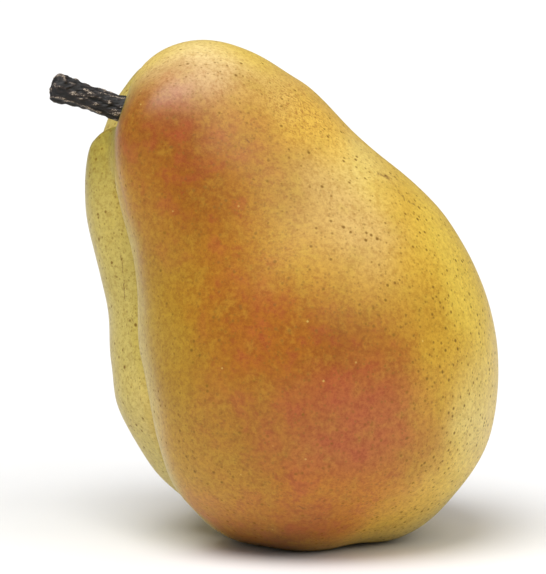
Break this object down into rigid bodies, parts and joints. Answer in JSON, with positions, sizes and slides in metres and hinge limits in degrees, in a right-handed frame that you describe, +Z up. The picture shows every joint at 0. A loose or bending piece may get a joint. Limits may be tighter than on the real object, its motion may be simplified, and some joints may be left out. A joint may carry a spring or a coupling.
{
  "type": "pear",
  "caption": "Picked pear with its woody stem, leaning to one side, with a groove between two lobes, standing on its calyx end",
  "frame": {"origin": "under the middle of the object's bounding box, on the surface that it stands on", "axes": "+Z up and the longest extent; +X to the right as the stem points left; +Y to the back, the shortest extent"},
  "size_m": [0.0878, 0.0778, 0.097],
  "materials": {
    "skin": "ripe pear skin, yellow-green under an orange-red blush, with russet lenticels and a satin bloom",
    "bark": "dark ridged bark, dry, with pale worn ridges",
    "calyx": "dried brown sepals and styles"
  },
  "bodies": {
    "root": {"fruit": "skin", "stem": "bark", "sepal_1": "calyx", "sepal_2": "calyx", "sepal_3": "calyx", "sepal_4": "calyx", "sepal_5": "calyx", "calyx_tuft": "calyx"}
  },
  "joints": []
}
